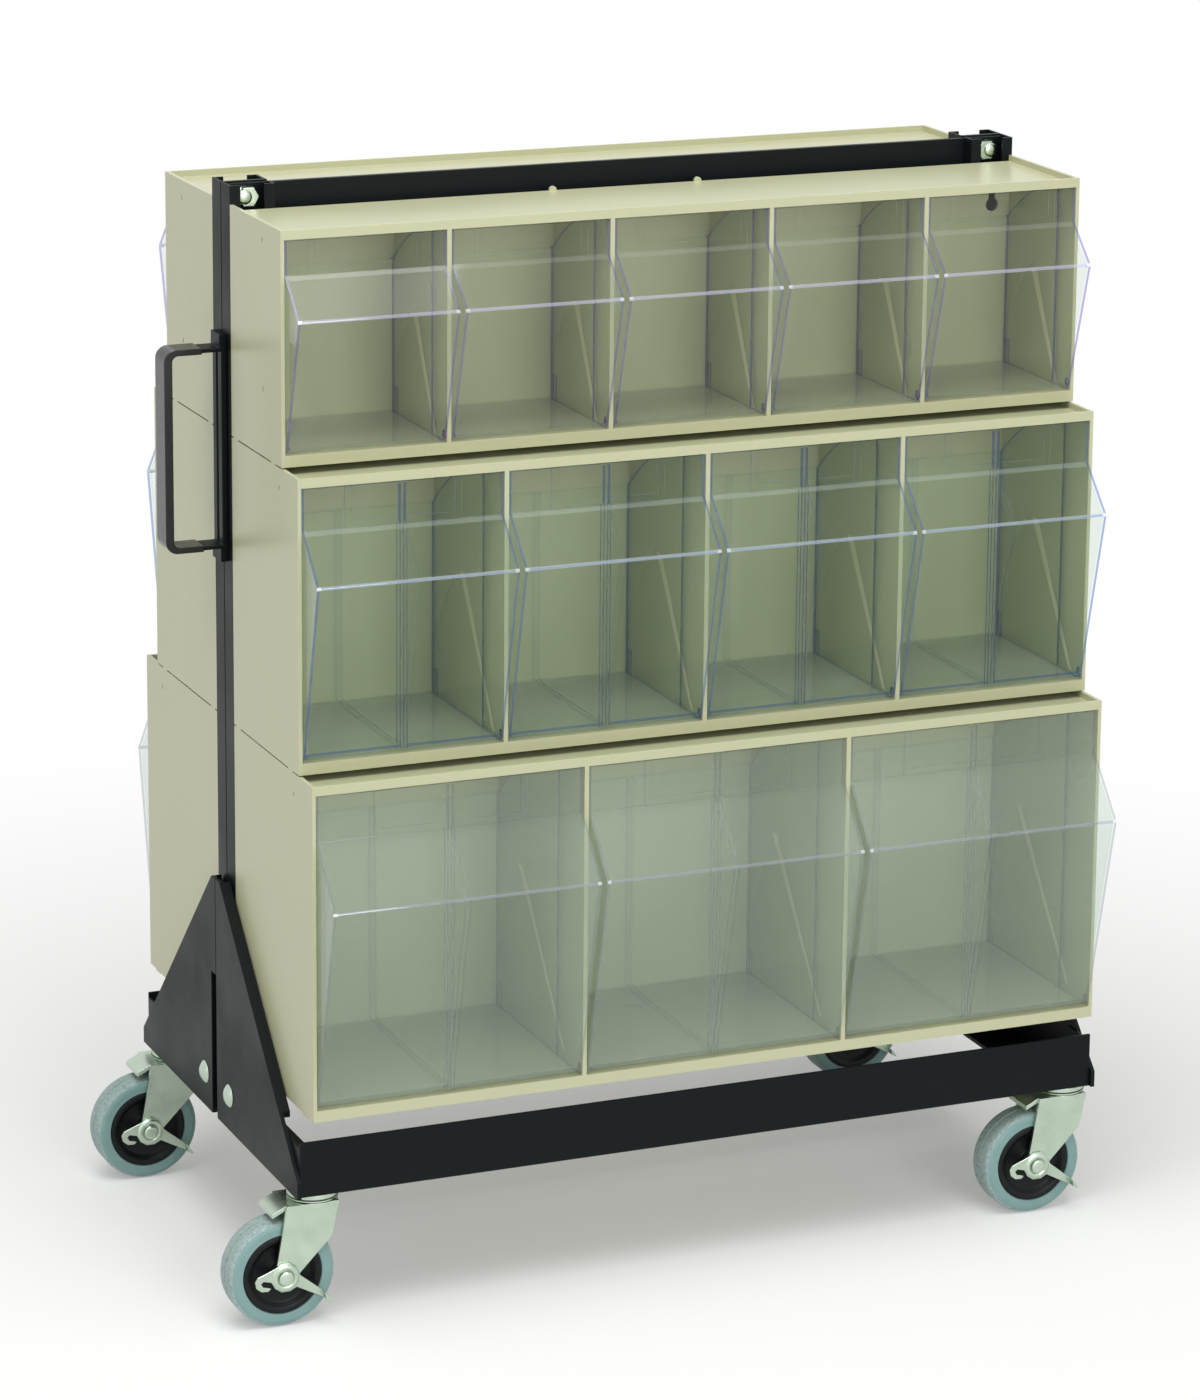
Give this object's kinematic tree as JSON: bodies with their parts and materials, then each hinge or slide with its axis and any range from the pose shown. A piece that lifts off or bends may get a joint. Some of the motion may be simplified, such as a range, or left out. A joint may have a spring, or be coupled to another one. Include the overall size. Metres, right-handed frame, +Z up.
{
  "type": "tilt-out bin floor stand",
  "caption": "Wheeled steel floor stand with rows of clear tilt-out storage bins in beige cabinets hung on both sides, and a side push handle.",
  "frame": {"origin": "on the floor, under the middle of the stand's outline with its wheels trailing to the left", "axes": "+X to the right along the front, +Y from the front to the back, +Z up"},
  "size_m": [0.6685, 0.4294, 0.775],
  "materials": {
    "beige_plastic": "satin moulded",
    "clear_plastic": "clear moulded",
    "clear_plastic_blue": "clear moulded",
    "clear_plastic_violet": "clear moulded",
    "black_frame": "powder coat",
    "black_grip": "moulded",
    "zinc_steel": "zinc plated",
    "zinc_fastener": "zinc plated",
    "grey_tyre": "moulded",
    "black_hub": "moulded"
  },
  "bodies": {
    "stand": {"front_lower_cabinet": "beige_plastic", "front_middle_cabinet": "beige_plastic", "front_upper_cabinet": "beige_plastic", "back_lower_cabinet": "beige_plastic", "back_middle_cabinet": "beige_plastic", "back_upper_cabinet": "beige_plastic", "left_upright": "black_frame", "right_upright": "black_frame", "top_crossbar": "black_frame", "front_left_gusset": "black_frame", "front_right_gusset": "black_frame", "back_left_gusset": "black_frame", "back_right_gusset": "black_frame", "front_base_rail": "black_frame", "back_base_rail": "black_frame", "handle_strap": "black_frame", "handle_grip": "black_grip", "frame_bolts": "zinc_fastener", "cabinet_screws": "zinc_fastener", "caster_stems": "zinc_steel"},
    "front_left_caster_fork": {"front_left_caster_fork": "zinc_steel"},
    "front_left_caster_wheel": {"front_left_caster_hub": "black_hub", "front_left_caster_tyre": "grey_tyre"},
    "front_left_caster_lever": {"front_left_caster_brake_lever": "zinc_steel"},
    "front_right_caster_fork": {"front_right_caster_fork": "zinc_steel"},
    "front_right_caster_wheel": {"front_right_caster_hub": "black_hub", "front_right_caster_tyre": "grey_tyre"},
    "front_right_caster_lever": {"front_right_caster_brake_lever": "zinc_steel"},
    "back_left_caster_fork": {"back_left_caster_fork": "zinc_steel"},
    "back_left_caster_wheel": {"back_left_caster_hub": "black_hub", "back_left_caster_tyre": "grey_tyre"},
    "back_left_caster_lever": {"back_left_caster_brake_lever": "zinc_steel"},
    "back_right_caster_fork": {"back_right_caster_fork": "zinc_steel"},
    "back_right_caster_wheel": {"back_right_caster_hub": "black_hub", "back_right_caster_tyre": "grey_tyre"},
    "back_right_caster_lever": {"back_right_caster_brake_lever": "zinc_steel"},
    "front_lower_bin_1": {"front_lower_bin_1": "clear_plastic"},
    "front_lower_bin_2": {"front_lower_bin_2": "clear_plastic"},
    "front_lower_bin_3": {"front_lower_bin_3": "clear_plastic"},
    "front_middle_bin_1": {"front_middle_bin_1": "clear_plastic_blue"},
    "front_middle_bin_2": {"front_middle_bin_2": "clear_plastic_blue"},
    "front_middle_bin_3": {"front_middle_bin_3": "clear_plastic_blue"},
    "front_middle_bin_4": {"front_middle_bin_4": "clear_plastic_blue"},
    "front_upper_bin_1": {"front_upper_bin_1": "clear_plastic_violet"},
    "front_upper_bin_2": {"front_upper_bin_2": "clear_plastic_violet"},
    "front_upper_bin_3": {"front_upper_bin_3": "clear_plastic_violet"},
    "front_upper_bin_4": {"front_upper_bin_4": "clear_plastic_violet"},
    "front_upper_bin_5": {"front_upper_bin_5": "clear_plastic_violet"},
    "back_lower_bin_1": {"back_lower_bin_1": "clear_plastic"},
    "back_lower_bin_2": {"back_lower_bin_2": "clear_plastic"},
    "back_lower_bin_3": {"back_lower_bin_3": "clear_plastic"},
    "back_middle_bin_1": {"back_middle_bin_1": "clear_plastic_blue"},
    "back_middle_bin_2": {"back_middle_bin_2": "clear_plastic_blue"},
    "back_middle_bin_3": {"back_middle_bin_3": "clear_plastic_blue"},
    "back_middle_bin_4": {"back_middle_bin_4": "clear_plastic_blue"},
    "back_upper_bin_1": {"back_upper_bin_1": "clear_plastic_violet"},
    "back_upper_bin_2": {"back_upper_bin_2": "clear_plastic_violet"},
    "back_upper_bin_3": {"back_upper_bin_3": "clear_plastic_violet"},
    "back_upper_bin_4": {"back_upper_bin_4": "clear_plastic_violet"},
    "back_upper_bin_5": {"back_upper_bin_5": "clear_plastic_violet"}
  },
  "joints": [
    {"name": "front_left_caster_swivel", "type": "hinge", "parent": "stand", "child": "front_left_caster_fork", "pos_m": [-0.26975, -0.152, 0.095], "axis": [0, 0, 1], "continuous": true},
    {"name": "front_left_caster_roll", "type": "hinge", "parent": "front_left_caster_fork", "child": "front_left_caster_wheel", "pos_m": [-0.29575, -0.152, 0.0385], "axis": [0, 1, 0], "continuous": true},
    {"name": "front_left_caster_brake", "type": "hinge", "parent": "front_left_caster_fork", "child": "front_left_caster_lever", "pos_m": [-0.29575, -0.152, 0.0385], "axis": [0, 1, 0], "range_deg": [-25, 0]},
    {"name": "front_right_caster_swivel", "type": "hinge", "parent": "stand", "child": "front_right_caster_fork", "pos_m": [0.31225, -0.152, 0.095], "axis": [0, 0, 1], "continuous": true},
    {"name": "front_right_caster_roll", "type": "hinge", "parent": "front_right_caster_fork", "child": "front_right_caster_wheel", "pos_m": [0.28625, -0.152, 0.0385], "axis": [0, 1, 0], "continuous": true},
    {"name": "front_right_caster_brake", "type": "hinge", "parent": "front_right_caster_fork", "child": "front_right_caster_lever", "pos_m": [0.28625, -0.152, 0.0385], "axis": [0, 1, 0], "range_deg": [-25, 0]},
    {"name": "back_left_caster_swivel", "type": "hinge", "parent": "stand", "child": "back_left_caster_fork", "pos_m": [-0.26975, 0.152, 0.095], "axis": [0, 0, 1], "continuous": true},
    {"name": "back_left_caster_roll", "type": "hinge", "parent": "back_left_caster_fork", "child": "back_left_caster_wheel", "pos_m": [-0.29575, 0.152, 0.0385], "axis": [0, 1, 0], "continuous": true},
    {"name": "back_left_caster_brake", "type": "hinge", "parent": "back_left_caster_fork", "child": "back_left_caster_lever", "pos_m": [-0.29575, 0.152, 0.0385], "axis": [0, 1, 0], "range_deg": [-25, 0]},
    {"name": "back_right_caster_swivel", "type": "hinge", "parent": "stand", "child": "back_right_caster_fork", "pos_m": [0.31225, 0.152, 0.095], "axis": [0, 0, 1], "continuous": true},
    {"name": "back_right_caster_roll", "type": "hinge", "parent": "back_right_caster_fork", "child": "back_right_caster_wheel", "pos_m": [0.28625, 0.152, 0.0385], "axis": [0, 1, 0], "continuous": true},
    {"name": "back_right_caster_brake", "type": "hinge", "parent": "back_right_caster_fork", "child": "back_right_caster_lever", "pos_m": [0.28625, 0.152, 0.0385], "axis": [0, 1, 0], "range_deg": [-25, 0]},
    {"name": "front_lower_bin_1_tilt", "type": "hinge", "parent": "stand", "child": "front_lower_bin_1", "pos_m": [-0.17808, -0.1759, 0.1664], "axis": [1, 0, 0], "range_deg": [0, 45]},
    {"name": "front_lower_bin_2_tilt", "type": "hinge", "parent": "stand", "child": "front_lower_bin_2", "pos_m": [0.02125, -0.1759, 0.1664], "axis": [1, 0, 0], "range_deg": [0, 45]},
    {"name": "front_lower_bin_3_tilt", "type": "hinge", "parent": "stand", "child": "front_lower_bin_3", "pos_m": [0.22058, -0.1759, 0.1664], "axis": [1, 0, 0], "range_deg": [0, 45]},
    {"name": "front_middle_bin_1_tilt", "type": "hinge", "parent": "stand", "child": "front_middle_bin_1", "pos_m": [-0.203, -0.1499, 0.4064], "axis": [1, 0, 0], "range_deg": [0, 45]},
    {"name": "front_middle_bin_2_tilt", "type": "hinge", "parent": "stand", "child": "front_middle_bin_2", "pos_m": [-0.0535, -0.1499, 0.4064], "axis": [1, 0, 0], "range_deg": [0, 45]},
    {"name": "front_middle_bin_3_tilt", "type": "hinge", "parent": "stand", "child": "front_middle_bin_3", "pos_m": [0.096, -0.1499, 0.4064], "axis": [1, 0, 0], "range_deg": [0, 45]},
    {"name": "front_middle_bin_4_tilt", "type": "hinge", "parent": "stand", "child": "front_middle_bin_4", "pos_m": [0.2455, -0.1499, 0.4064], "axis": [1, 0, 0], "range_deg": [0, 45]},
    {"name": "front_upper_bin_1_tilt", "type": "hinge", "parent": "stand", "child": "front_upper_bin_1", "pos_m": [-0.21795, -0.1184, 0.6134], "axis": [1, 0, 0], "range_deg": [0, 45]},
    {"name": "front_upper_bin_2_tilt", "type": "hinge", "parent": "stand", "child": "front_upper_bin_2", "pos_m": [-0.09835, -0.1184, 0.6134], "axis": [1, 0, 0], "range_deg": [0, 45]},
    {"name": "front_upper_bin_3_tilt", "type": "hinge", "parent": "stand", "child": "front_upper_bin_3", "pos_m": [0.02125, -0.1184, 0.6134], "axis": [1, 0, 0], "range_deg": [0, 45]},
    {"name": "front_upper_bin_4_tilt", "type": "hinge", "parent": "stand", "child": "front_upper_bin_4", "pos_m": [0.14085, -0.1184, 0.6134], "axis": [1, 0, 0], "range_deg": [0, 45]},
    {"name": "front_upper_bin_5_tilt", "type": "hinge", "parent": "stand", "child": "front_upper_bin_5", "pos_m": [0.26045, -0.1184, 0.6134], "axis": [1, 0, 0], "range_deg": [0, 45]},
    {"name": "back_lower_bin_1_tilt", "type": "hinge", "parent": "stand", "child": "back_lower_bin_1", "pos_m": [0.22058, 0.1759, 0.1664], "axis": [-1, 0, 0], "range_deg": [0, 45]},
    {"name": "back_lower_bin_2_tilt", "type": "hinge", "parent": "stand", "child": "back_lower_bin_2", "pos_m": [0.02125, 0.1759, 0.1664], "axis": [-1, 0, 0], "range_deg": [0, 45]},
    {"name": "back_lower_bin_3_tilt", "type": "hinge", "parent": "stand", "child": "back_lower_bin_3", "pos_m": [-0.17808, 0.1759, 0.1664], "axis": [-1, 0, 0], "range_deg": [0, 45]},
    {"name": "back_middle_bin_1_tilt", "type": "hinge", "parent": "stand", "child": "back_middle_bin_1", "pos_m": [0.2455, 0.1499, 0.4064], "axis": [-1, 0, 0], "range_deg": [0, 45]},
    {"name": "back_middle_bin_2_tilt", "type": "hinge", "parent": "stand", "child": "back_middle_bin_2", "pos_m": [0.096, 0.1499, 0.4064], "axis": [-1, 0, 0], "range_deg": [0, 45]},
    {"name": "back_middle_bin_3_tilt", "type": "hinge", "parent": "stand", "child": "back_middle_bin_3", "pos_m": [-0.0535, 0.1499, 0.4064], "axis": [-1, 0, 0], "range_deg": [0, 45]},
    {"name": "back_middle_bin_4_tilt", "type": "hinge", "parent": "stand", "child": "back_middle_bin_4", "pos_m": [-0.203, 0.1499, 0.4064], "axis": [-1, 0, 0], "range_deg": [0, 45]},
    {"name": "back_upper_bin_1_tilt", "type": "hinge", "parent": "stand", "child": "back_upper_bin_1", "pos_m": [0.26045, 0.1184, 0.6134], "axis": [-1, 0, 0], "range_deg": [0, 45]},
    {"name": "back_upper_bin_2_tilt", "type": "hinge", "parent": "stand", "child": "back_upper_bin_2", "pos_m": [0.14085, 0.1184, 0.6134], "axis": [-1, 0, 0], "range_deg": [0, 45]},
    {"name": "back_upper_bin_3_tilt", "type": "hinge", "parent": "stand", "child": "back_upper_bin_3", "pos_m": [0.02125, 0.1184, 0.6134], "axis": [-1, 0, 0], "range_deg": [0, 45]},
    {"name": "back_upper_bin_4_tilt", "type": "hinge", "parent": "stand", "child": "back_upper_bin_4", "pos_m": [-0.09835, 0.1184, 0.6134], "axis": [-1, 0, 0], "range_deg": [0, 45]},
    {"name": "back_upper_bin_5_tilt", "type": "hinge", "parent": "stand", "child": "back_upper_bin_5", "pos_m": [-0.21795, 0.1184, 0.6134], "axis": [-1, 0, 0], "range_deg": [0, 45]}
  ]
}
